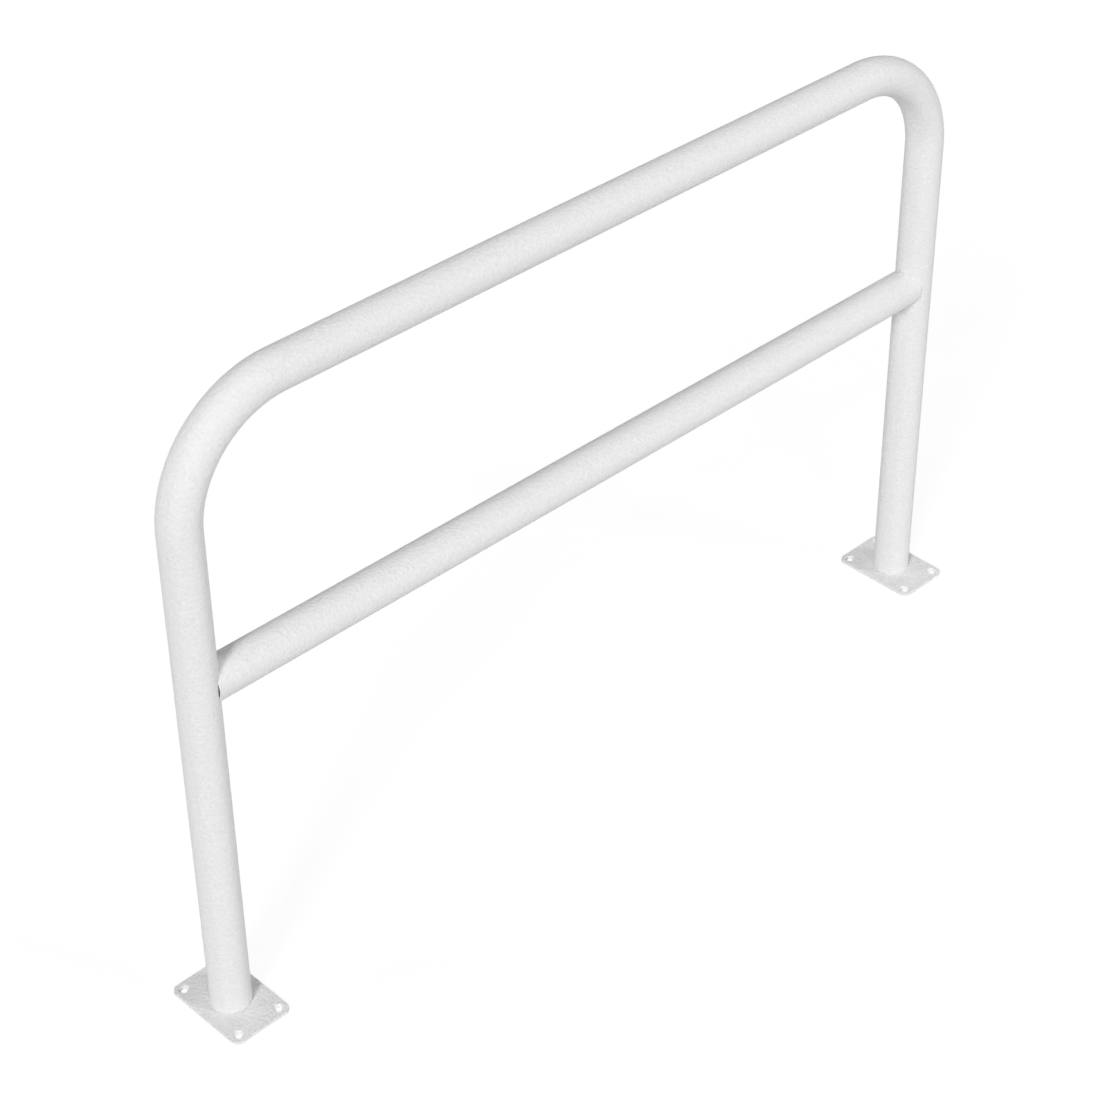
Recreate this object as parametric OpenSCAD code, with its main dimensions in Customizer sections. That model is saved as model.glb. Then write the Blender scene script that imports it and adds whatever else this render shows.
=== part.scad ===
// Hoop barrier with a crossbar: one bent round tube welded to two bolted base plates.
// Frame: +X along the barrier, +Y to its back, +Z up, the origin on the ground midway between the legs.

/* [Hoop] */
// Distance between the axes of the two legs
leg_spacing = 1452; // [900:1:2400]
// Height of the top of the hoop above the ground
hoop_h = 1015; // [850:1:1300]
// Outside diameter of the hoop's tube
tube_d = 60; // [48:0.5:76]
// Wall thickness of the hoop's tube
tube_wall = 2; // [1.5:0.1:4]
// Radius of each bend on the tube's axis
bend_r = 167.5; // [120:0.5:300]

/* [Crossbar] */
// Height of the crossbar's axis above the ground
crossbar_h = 571; // [250:1:700]
// Outside diameter of the crossbar
crossbar_d = 60; // [38:0.5:60]
// Wall thickness of the crossbar
crossbar_wall = 2; // [1.5:0.1:4]
// How far the notched ends reach round a leg, past its inner face
notch_depth = 14; // [6:0.5:20]

/* [Base plates] */
// Width of a base plate along the barrier
plate_w = 100; // [90:1:160]
// Depth of a base plate across the barrier
plate_d = 150; // [145:1:220]
// Thickness of a base plate
plate_t = 5; // [5:0.5:12]
// Corner radius of a base plate
plate_corner_r = 12; // [6:0.5:20]
// Chamfer along the edges of a base plate
plate_edge = 0.2; // [0.2:0.1:1]
// Distance between the anchor holes along the barrier
hole_spacing_x = 72; // [60:0.5:76]
// Distance between the anchor holes across the barrier
hole_spacing_y = 123; // [80:0.5:126]
// Diameter of an anchor hole
hole_d = 10; // [8:0.5:12]
// Diameter of an anchor hole's countersink at the plate's top
countersink_d = 16; // [13:0.5:19]
// Included angle of the countersink
countersink_angle = 90; // [90:1:120]
// Diameter of the drain hole under each leg
drain_d = 16; // [8:0.5:40]

/* [Welds] */
// Leg length of the weld beads
weld_leg = 0.6; // [0.6:0.1:4]

/* [Hidden] */
$fn = 96;
SEAM_STEPS = 36;
BEAD_SIDES = 4;
CUT_PAST = 1;
COAT = [0.82, 0.82, 0.82];
tube_r = tube_d / 2;
crossbar_r = crossbar_d / 2;
leg_x = leg_spacing / 2;
rail_z = hoop_h - tube_r;
bend_z = rail_z - bend_r;
// Distance from a leg's axis to the trimmed tips of the crossbar's notched end
tip_x = tube_r - notch_depth;
crossbar_half = leg_x - tip_x;
// Angle up from the crossbar's front at which the seam on a leg runs out at the trimmed tips
seam_start = acos(min(1, sqrt(tube_r ^ 2 - tip_x ^ 2) / crossbar_r));

// Shapes that more than one node uses

module tube_section(d, wall) {
  difference() {
    circle(d = d);
    circle(d = d - 2 * wall);
  }
}

// side is -1 for the left leg and 1 for the right one
module at_leg(side) {
  translate([side * leg_x, 0, 0])
    mirror([side > 0 ? 1 : 0, 0, 0])
      children();
}

// Hoop

module leg_stretch(side) {
  translate([side * leg_x, 0, plate_t])
    linear_extrude(bend_z - plate_t)
      tube_section(tube_d, tube_wall);
}

module bend(side) {
  mirror([side < 0 ? 1 : 0, 0, 0])
    translate([leg_x - bend_r, 0, bend_z])
      rotate([90, 0, 0])
        rotate_extrude(angle = 90)
          translate([bend_r, 0])
            tube_section(tube_d, tube_wall);
}

module top_rail() {
  rail_l = leg_spacing - 2 * bend_r;
  translate([-rail_l / 2, 0, rail_z])
    rotate([0, 90, 0])
      linear_extrude(rail_l)
        tube_section(tube_d, tube_wall);
}

module hoop_tube() {
  color(COAT)
    union() {
      for (side = [-1, 1]) {
        leg_stretch(side);
        bend(side);
      }
      top_rail();
    }
}

// Crossbar

module crossbar() {
  color(COAT)
    difference() {
      translate([-crossbar_half, 0, crossbar_h])
        rotate([0, 90, 0])
          linear_extrude(2 * crossbar_half)
            tube_section(crossbar_d, crossbar_wall);
      for (side = [-1, 1])
        translate([side * leg_x, 0, crossbar_h - crossbar_d])
          cylinder(h = 2 * crossbar_d, d = tube_d);
    }
}

// Base plates

// Half of the plate's profile out from x = 0 to the edge at x = reach, chamfered at both faces
module edge_profile(reach) {
  polygon([
    [0, 0], [reach - plate_edge, 0], [reach, plate_edge],
    [reach, plate_t - plate_edge], [reach - plate_edge, plate_t], [0, plate_t]
  ]);
}

module edge_strip(reach, length) {
  translate([0, length / 2, 0])
    rotate([90, 0, 0])
      linear_extrude(length)
        union() {
          edge_profile(reach);
          mirror([1, 0]) edge_profile(reach);
        }
}

module plate_blank() {
  straight_x = plate_w - 2 * plate_corner_r;
  straight_y = plate_d - 2 * plate_corner_r;
  union() {
    edge_strip(plate_w / 2, straight_y);
    rotate([0, 0, 90]) edge_strip(plate_d / 2, straight_x);
    for (sx = [-1, 1], sy = [-1, 1])
      translate([sx * straight_x / 2, sy * straight_y / 2, 0])
        rotate_extrude()
          edge_profile(plate_corner_r);
  }
}

module anchor_hole() {
  sink_h = (countersink_d - hole_d) / 2 / tan(countersink_angle / 2);
  past_r = CUT_PAST * tan(countersink_angle / 2);
  translate([0, 0, -CUT_PAST])
    cylinder(h = plate_t + 2 * CUT_PAST, d = hole_d);
  translate([0, 0, plate_t - sink_h])
    cylinder(h = sink_h + CUT_PAST, d1 = hole_d, d2 = countersink_d + 2 * past_r);
}

module base_plate(side) {
  color(COAT)
    at_leg(side)
      difference() {
        plate_blank();
        for (sx = [-1, 1], sy = [-1, 1])
          translate([sx * hole_spacing_x / 2, sy * hole_spacing_y / 2, 0])
            anchor_hole();
        translate([0, 0, -CUT_PAST])
          cylinder(h = plate_t + 2 * CUT_PAST, d = drain_d);
      }
}

// Welds

module foot_weld(side) {
  color(COAT)
    translate([side * leg_x, 0, plate_t])
      rotate_extrude()
        translate([tube_r, 0])
          intersection() {
            circle(r = weld_leg);
            square(weld_leg);
          }
}

// Point on the surface of a tube of radius leg_r round the leg's axis, at angle a round a bar of radius bar_r
function on_seam(leg_r, bar_r, a) =
  [sqrt(leg_r ^ 2 - (bar_r * cos(a)) ^ 2), -bar_r * cos(a), bar_r * sin(a)];

// Section of the weld bead at angle a: its root in the corner, then a round face from the bar to the leg
function bead_section(a) =
  let (
    root = on_seam(tube_r, crossbar_r, a),
    to_bar = on_seam(tube_r + weld_leg, crossbar_r, a) - root,
    to_leg = on_seam(tube_r, crossbar_r + weld_leg, a) - root
  )
  concat([root], [for (i = [0:BEAD_SIDES]) root + to_bar * cos(90 * i / BEAD_SIDES) + to_leg * sin(90 * i / BEAD_SIDES)]);

// Bead along the seam over the crossbar's top, from one trimmed tip to the other, round a leg at the origin
module seam_bead() {
  per_ring = BEAD_SIDES + 2;
  rings = [for (k = [0:SEAM_STEPS]) bead_section(seam_start + (180 - 2 * seam_start) * k / SEAM_STEPS)];
  walls = [
    for (k = [0:SEAM_STEPS - 1], i = [0:per_ring - 1])
      let (next = (i + 1) % per_ring)
      [k * per_ring + i, k * per_ring + next, (k + 1) * per_ring + next, (k + 1) * per_ring + i]
  ];
  first = [for (i = [per_ring - 1:-1:0]) i];
  last = [for (i = [0:per_ring - 1]) SEAM_STEPS * per_ring + i];
  polyhedron(points = [for (ring = rings, p = ring) p], faces = concat(walls, [first, last]));
}

// up is 1 for the bead over the crossbar and -1 for the one under it
module crossbar_weld(side, up) {
  color(COAT)
    translate([0, 0, crossbar_h])
      at_leg(side)
        mirror([0, 0, up < 0 ? 1 : 0])
          seam_bead();
}

hoop_tube();
crossbar();
base_plate(-1);  // left_base_plate
base_plate(1);  // right_base_plate
foot_weld(-1);  // left_foot_weld
foot_weld(1);  // right_foot_weld
crossbar_weld(-1, 1);  // left_crossbar_top_weld
crossbar_weld(-1, -1);  // left_crossbar_bottom_weld
crossbar_weld(1, 1);  // right_crossbar_top_weld
crossbar_weld(1, -1);  // right_crossbar_bottom_weld
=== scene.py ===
"""Looks of the hoop barrier with crossbar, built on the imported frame.

Metres, +Z up, +X along the barrier, -Y its front, the origin on the ground midway between the legs.
"""

import math

import bpy
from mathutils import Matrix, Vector


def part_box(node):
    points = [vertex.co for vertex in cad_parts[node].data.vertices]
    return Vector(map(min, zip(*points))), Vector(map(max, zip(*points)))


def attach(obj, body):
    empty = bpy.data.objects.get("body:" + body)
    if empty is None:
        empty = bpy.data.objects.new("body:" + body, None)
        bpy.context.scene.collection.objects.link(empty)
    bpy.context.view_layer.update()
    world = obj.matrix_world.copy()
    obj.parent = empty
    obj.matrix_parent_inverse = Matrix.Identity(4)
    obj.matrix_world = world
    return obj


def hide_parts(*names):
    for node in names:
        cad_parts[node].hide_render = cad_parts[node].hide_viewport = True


WHITE = (1.0, 1.0, 1.0, 1.0)

# Powder coat. MOTTLE is the grain's depth outside its patches and inside them,
# and a RANGE is where most values of its noise lie
COAT_TONE = 0.82
COAT_SPECULAR = 0.1
COAT_ROUGHNESS = (0.5, 0.62)
MOTTLE = (0.13, 0.21)
GRAIN_SIZE = 0.004
GRAIN_DETAIL = 2.0
GRAIN_RANGE = (0.3, 0.7)
PATCH_SIZE = 0.035
PATCH_DETAIL = 1.0
PATCH_RANGE = (0.35, 0.65)
PEEL_SIZE = 0.005
PEEL_DETAIL = 1.0
PEEL_DEPTH = 0.0013
NOISE_ROUGHNESS = 0.55
NOISE_MIDDLE = 0.5

# Floor. It bounces light as a pale floor does, and is seen as white with a soft shadow
FLOOR_SIZE = 60.0
FLOOR_BOUNCE = 0.72
FLOOR_SHOWN = 0.13
FLOOR_GLOW = 0.905

# Name, azimuth, elevation and strength
LAMPS = (
    ("high_key_lamp", -152.0, 40.0, 0.295),
    ("key_lamp", -152.0, 28.0, 0.311),
    ("fill_lamp", -65.0, 22.0, 0.348),
    ("front_lamp", -118.0, 28.0, 0.116),
    ("back_lamp", 150.0, 25.0, 0.159),
    ("high_back_lamp", 30.0, 68.0, 0.098),
    ("rear_lamp", 90.0, 45.0, 0.056),
    ("side_lamp", -30.0, 20.0, 0.046),
    ("top_lamp", 0.0, 89.0, 0.052),
)
LAMP_SPREAD = 12.0

CAMERA_PLACE = (-2.2492, -2.2491, 2.7596)
CAMERA_TILT = 54.7356
CAMERA_TURN = -45.0
CAMERA_LENS = 87.13
CAMERA_FILM = 36.0
CAMERA_SHIFT = (-0.03983, -0.04789)
CAMERA_REACH = (0.1, 100.0)

# Tubes and welds
TUBE_R = 0.030
TUBE_WALL = 0.002
BEND_R = 0.1675
TUBE_SIDES = 128
BEND_RINGS = 72
STRAIGHT_RINGS = 12
SADDLE_RINGS = 6
WELD_LEG = 0.0006
SEAM_STEPS = 96
BEAD_STEPS = 6
# Points round a bead's section: its root, and those along its face
BEAD_SIDES = BEAD_STEPS + 2
SHARP_ANGLE = math.radians(35.0)


# Meshes


def add_mesh(name, vertices, faces):
    """A smooth-shaded mesh object with sharp edges kept."""
    mesh = bpy.data.meshes.new(name)
    mesh.from_pydata(vertices, [], faces)
    mesh.validate()
    mesh.update()
    for polygon in mesh.polygons:
        polygon.use_smooth = True
    mesh.set_sharp_from_angle(angle=SHARP_ANGLE)
    piece = bpy.data.objects.new(name, mesh)
    bpy.context.scene.collection.objects.link(piece)
    return piece


def tube_faces(ring_count, sides, first=0, flip=False):
    """Quads between the rings of one skin, given by its first vertex. Flip turns them over."""
    faces = []
    for ring in range(ring_count - 1):
        low = first + ring * sides
        high = low + sides
        for side in range(sides):
            beside = (side + 1) % sides
            quad = (low + side, low + beside, high + beside, high + side)
            faces.append(quad[::-1] if flip else quad)
    return faces


def end_faces(outer, inner, flip=False):
    """Quads that close a tube's end between its outer and inner ring, each given by its first vertex."""
    faces = []
    for side in range(TUBE_SIDES):
        beside = (side + 1) % TUBE_SIDES
        quad = (outer + side, inner + side, inner + beside, outer + beside)
        faces.append(quad[::-1] if flip else quad)
    return faces


def hollow_tube(name, outer, inner):
    """A tube with a wall, from the rings of its outer and its inner skin, closed at both ends."""
    start = len(outer)
    last = start - TUBE_SIDES
    ring_count = start // TUBE_SIDES
    faces = tube_faces(ring_count, TUBE_SIDES, flip=True)
    faces += tube_faces(ring_count, TUBE_SIDES, start)
    faces += end_faces(0, start, flip=True)
    faces += end_faces(last, start + last)
    return add_mesh(name, outer + inner, faces)


def hoop_path(leg_x, foot_z, rail_z):
    """Points on the hoop's axis from the left foot to the right one, with their angles round the bends."""
    bend_x = leg_x - BEND_R
    bend_z = rail_z - BEND_R
    right = []
    for step in range(STRAIGHT_RINGS):
        right.append((leg_x, foot_z + (bend_z - foot_z) * step / STRAIGHT_RINGS, 0.0))
    for step in range(BEND_RINGS + 1):
        angle = 0.5 * math.pi * step / BEND_RINGS
        right.append((bend_x + BEND_R * math.cos(angle), bend_z + BEND_R * math.sin(angle), angle))
    left = [(-x, z, math.pi - angle) for x, z, angle in right]
    rail = []
    for step in range(1, STRAIGHT_RINGS):
        rail.append((bend_x * (2.0 * step / STRAIGHT_RINGS - 1.0), rail_z, 0.5 * math.pi))
    return left + rail + right[::-1]


def hoop_skin(path, radius):
    """Rings of one skin of the hoop's tube."""
    vertices = []
    for x, z, angle in path:
        for side in range(TUBE_SIDES):
            turn = 2.0 * math.pi * side / TUBE_SIDES
            reach = radius * math.cos(turn)
            y = radius * math.sin(turn)
            vertices.append((x + reach * math.cos(angle), y, z + reach * math.sin(angle)))
    return vertices


def make_hoop(leg_x, foot_z, rail_z):
    """The bent tube that makes both legs and the top rail."""
    path = hoop_path(leg_x, foot_z, rail_z)
    return hollow_tube("hoop", hoop_skin(path, TUBE_R), hoop_skin(path, TUBE_R - TUBE_WALL))


def crossbar_end(y, leg_x, tip_x):
    """How far from the middle the notched end of the crossbar reaches, at a distance y from its axis."""
    return leg_x - max(math.sqrt(TUBE_R**2 - y**2), tip_x)


def crossbar_skin(radius, leg_x, tip_x, height):
    """Rings of one skin of the crossbar: both notched ends and even rings between them."""
    vertices = []
    for ring in range(-SADDLE_RINGS, SADDLE_RINGS + 1):
        for side in range(TUBE_SIDES):
            turn = 2.0 * math.pi * side / TUBE_SIDES
            y = radius * math.sin(turn)
            end = crossbar_end(y, leg_x, tip_x)
            vertices.append((end * ring / SADDLE_RINGS, y, height + radius * math.cos(turn)))
    return vertices


def make_crossbar(leg_x, tip_x, height):
    """The straight tube between the legs, notched over both of them."""
    outer = crossbar_skin(TUBE_R, leg_x, tip_x, height)
    inner = crossbar_skin(TUBE_R - TUBE_WALL, leg_x, tip_x, height)
    return hollow_tube("crossbar_tube", outer, inner)


def bead_section(root, out, up):
    """Section of a slightly hollow weld bead: its root in the corner, then its face between the surfaces."""
    section = [root]
    for step in range(BEAD_STEPS + 1):
        swing = 0.5 * math.pi * step / BEAD_STEPS
        section.append(root + out * (1.0 - math.sin(swing)) + up * (1.0 - math.cos(swing)))
    return section


def shade_along(piece, normals):
    """Shades a bead ground flush: its face takes the normals of the surface that it runs along."""
    piece.data.normals_split_custom_set_from_vertices(normals)
    return piece


def make_foot_bead(name, x, z):
    """Bead round the foot of the leg at x, on the plate's top at z."""
    vertices = []
    for step in range(TUBE_SIDES):
        turn = 2.0 * math.pi * step / TUBE_SIDES
        out = Vector((math.cos(turn), math.sin(turn), 0.0))
        root = Vector((x, 0.0, z)) + TUBE_R * out
        vertices += bead_section(root, WELD_LEG * out, Vector((0.0, 0.0, WELD_LEG)))
    count = len(vertices)
    faces = tube_faces(TUBE_SIDES + 1, BEAD_SIDES, flip=True)
    closed = [tuple(corner % count for corner in face) for face in faces]
    return shade_along(add_mesh(name, vertices, closed), [(0.0, 0.0, 1.0)] * count)


def seam_point(leg_reach, bar_reach, turn):
    """Where a tube round the leg's axis meets one round the crossbar's, from where the two axes cross."""
    depth = bar_reach * math.cos(turn)
    return Vector((-math.sqrt(leg_reach**2 - depth**2), -depth, bar_reach * math.sin(turn)))


def make_seam_bead(name, side, leg_x, tip_x, height, up):
    """Bead over or under the crossbar, from one trimmed tip of its end to the other."""
    start = math.acos(math.sqrt(TUBE_R**2 - tip_x**2) / TUBE_R)
    vertices = []
    normals = []
    for step in range(SEAM_STEPS + 1):
        turn = start + (math.pi - 2.0 * start) * step / SEAM_STEPS
        root = seam_point(TUBE_R, TUBE_R, turn)
        along_bar = seam_point(TUBE_R + WELD_LEG, TUBE_R, turn) - root
        up_leg = seam_point(TUBE_R, TUBE_R + WELD_LEG, turn) - root
        for point in bead_section(root, along_bar, up_leg):
            vertices.append((side * (leg_x + point.x), point.y, height + up * point.z))
            normals.append(Vector((side * point.x, point.y, 0.0)).normalized())
    faces = tube_faces(SEAM_STEPS + 1, BEAD_SIDES)
    last_ring = SEAM_STEPS * BEAD_SIDES
    faces += [tuple(range(BEAD_SIDES))[::-1], tuple(range(last_ring, last_ring + BEAD_SIDES))]
    if side * up < 0.0:
        faces = [face[::-1] for face in faces]
    return shade_along(add_mesh(name, vertices, faces), normals)


# Materials


def new_material(name):
    """An empty node material: (material, its node tree, its output node)."""
    material = bpy.data.materials.new(name)
    material.use_nodes = True
    tree = material.node_tree
    tree.nodes.clear()
    return material, tree, tree.nodes.new("ShaderNodeOutputMaterial")


def add_node(tree, kind, **sockets):
    """A node of a kind, with some of its input sockets set."""
    node = tree.nodes.new(kind)
    for socket, value in sockets.items():
        node.inputs[socket.replace("_", " ")].default_value = value
    return node


def combine(tree, operation, left, right):
    """Two values put together by a maths node. The right one is an output socket or a number."""
    node = tree.nodes.new("ShaderNodeMath")
    node.operation = operation
    tree.links.new(left, node.inputs[0])
    if isinstance(right, float):
        node.inputs[1].default_value = right
    else:
        tree.links.new(right, node.inputs[1])
    return node.outputs[0]


def rescale(tree, value, low, high, new_low, new_high):
    """A value moved from one range to another, clamped to the new one."""
    ends = {"From_Min": low, "From_Max": high, "To_Min": new_low, "To_Max": new_high}
    node = add_node(tree, "ShaderNodeMapRange", **ends)
    tree.links.new(value, node.inputs["Value"])
    return node.outputs["Result"]


def noise(tree, place, size, detail):
    """Noise whose features are about the given size across, in metres: its factor output."""
    node = add_node(tree, "ShaderNodeTexNoise", Scale=1.0 / size, Detail=detail, Roughness=NOISE_ROUGHNESS)
    tree.links.new(place, node.inputs["Vector"])
    return node.outputs["Fac"]


def grey(tree, tone):
    """A neutral colour of the given tone."""
    colour = tree.nodes.new("ShaderNodeCombineColor")
    for channel in ("Red", "Green", "Blue"):
        tree.links.new(tone, colour.inputs[channel])
    return colour.outputs["Color"]


def coat_material():
    """White powder coat: a fine mottled grain that comes and goes in patches, and an orange peel."""
    material, tree, out = new_material("white_powder_coat")
    place = tree.nodes.new("ShaderNodeTexCoord").outputs["Object"]
    grain = noise(tree, place, GRAIN_SIZE, GRAIN_DETAIL)
    patches = noise(tree, place, PATCH_SIZE, PATCH_DETAIL)
    peel = noise(tree, place, PEEL_SIZE, PEEL_DETAIL)

    depth = rescale(tree, patches, *PATCH_RANGE, *MOTTLE)
    mottle = combine(tree, "MULTIPLY", combine(tree, "SUBTRACT", grain, NOISE_MIDDLE), depth)
    tone = combine(tree, "ADD", mottle, COAT_TONE)

    bump = add_node(tree, "ShaderNodeBump", Strength=1.0, Distance=PEEL_DEPTH)
    tree.links.new(peel, bump.inputs["Height"])

    shader = add_node(tree, "ShaderNodeBsdfPrincipled", Specular_IOR_Level=COAT_SPECULAR)
    tree.links.new(grey(tree, tone), shader.inputs["Base Color"])
    tree.links.new(rescale(tree, grain, *GRAIN_RANGE, *COAT_ROUGHNESS), shader.inputs["Roughness"])
    tree.links.new(bump.outputs["Normal"], shader.inputs["Normal"])
    tree.links.new(shader.outputs["BSDF"], out.inputs["Surface"])
    return material


def dress(piece, material):
    """Gives a piece one material."""
    piece.data.materials.clear()
    piece.data.materials.append(material)


# Stage


def look_rays(tree):
    """1 for camera, glossy and transmission rays and 0 for the rays that carry light to the object."""
    rays = tree.nodes.new("ShaderNodeLightPath").outputs
    seen = combine(tree, "MAXIMUM", rays["Is Camera Ray"], rays["Is Glossy Ray"])
    return combine(tree, "MAXIMUM", seen, rays["Is Transmission Ray"])


def make_floor():
    """A floor that looks white, keeps the object's soft shadow and lights it as a pale floor does."""
    bpy.ops.mesh.primitive_plane_add(size=FLOOR_SIZE)
    floor = bpy.context.object
    floor.name = "floor"
    material, tree, out = new_material("pale_floor")
    seen = look_rays(tree)
    matt = tree.nodes.new("ShaderNodeBsdfDiffuse")
    tone = rescale(tree, seen, 0.0, 1.0, FLOOR_BOUNCE, FLOOR_SHOWN)
    tree.links.new(grey(tree, tone), matt.inputs["Color"])
    glow = add_node(tree, "ShaderNodeEmission", Color=WHITE)
    tree.links.new(combine(tree, "MULTIPLY", seen, FLOOR_GLOW), glow.inputs["Strength"])
    both = tree.nodes.new("ShaderNodeAddShader")
    tree.links.new(matt.outputs["BSDF"], both.inputs[0])
    tree.links.new(glow.outputs["Emission"], both.inputs[1])
    tree.links.new(both.outputs["Shader"], out.inputs["Surface"])
    floor.data.materials.append(material)


def make_camera():
    """The photograph's viewpoint."""
    data = bpy.data.cameras.new("camera")
    data.lens = CAMERA_LENS
    data.sensor_width = CAMERA_FILM
    data.shift_x, data.shift_y = CAMERA_SHIFT
    data.clip_start, data.clip_end = CAMERA_REACH
    camera = bpy.data.objects.new("camera", data)
    camera.location = CAMERA_PLACE
    camera.rotation_euler = (math.radians(CAMERA_TILT), 0.0, math.radians(CAMERA_TURN))
    bpy.context.scene.collection.objects.link(camera)
    bpy.context.scene.camera = camera


def make_world():
    """White wherever it is seen. The lamps alone light the object."""
    world = bpy.data.worlds.new("world")
    world.use_nodes = True
    tree = world.node_tree
    background = tree.nodes["Background"]
    background.inputs["Color"].default_value = WHITE
    tree.links.new(look_rays(tree), background.inputs["Strength"])
    bpy.context.scene.world = world


def make_lamp(name, azimuth, elevation, strength):
    """A distant soft lamp. Azimuth runs from +X to +Y, and strength 1 makes a white face towards it white."""
    data = bpy.data.lights.new(name, "SUN")
    data.energy = strength * math.pi
    data.angle = math.radians(LAMP_SPREAD)
    lamp = bpy.data.objects.new(name, data)
    turn = math.radians(azimuth)
    rise = math.radians(elevation)
    towards = Vector((math.cos(turn) * math.cos(rise), math.sin(turn) * math.cos(rise), math.sin(rise)))
    lamp.rotation_euler = towards.to_track_quat("Z", "Y").to_euler()
    bpy.context.scene.collection.objects.link(lamp)


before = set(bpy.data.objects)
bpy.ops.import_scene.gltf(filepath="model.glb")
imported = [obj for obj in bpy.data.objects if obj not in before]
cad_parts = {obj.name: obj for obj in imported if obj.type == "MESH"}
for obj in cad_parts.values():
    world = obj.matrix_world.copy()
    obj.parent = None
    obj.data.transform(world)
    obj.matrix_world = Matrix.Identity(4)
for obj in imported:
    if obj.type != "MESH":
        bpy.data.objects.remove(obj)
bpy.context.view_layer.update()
coat = coat_material()
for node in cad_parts.values():
    dress(node, coat)

hoop_low, hoop_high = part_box("hoop_tube")
bar_low, bar_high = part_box("crossbar")
foot_z = hoop_low.z
leg_x = hoop_high.x - TUBE_R
rail_z = hoop_high.z - TUBE_R
bar_z = 0.5 * (bar_low.z + bar_high.z)
# Distance from a leg's axis to the trimmed tips of the crossbar's end
tip_x = leg_x - bar_high.x

pieces = {
    "hoop_tube": make_hoop(leg_x, foot_z, rail_z),
    "crossbar": make_crossbar(leg_x, tip_x, bar_z),
}
for side_name, side in (("left", -1.0), ("right", 1.0)):
    pieces[side_name + "_foot_weld"] = make_foot_bead(side_name + "_foot_bead", side * leg_x, foot_z)
    for way, up in (("top", 1.0), ("bottom", -1.0)):
        name = side_name + "_crossbar_" + way
        pieces[name + "_weld"] = make_seam_bead(name + "_bead", side, leg_x, tip_x, bar_z, up)
for node, piece in pieces.items():
    dress(piece, coat)
    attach(piece, "root")
    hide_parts(node)

make_floor()
make_camera()
make_world()
for lamp in LAMPS:
    make_lamp(*lamp)
bpy.context.scene.view_settings.view_transform = "Standard"
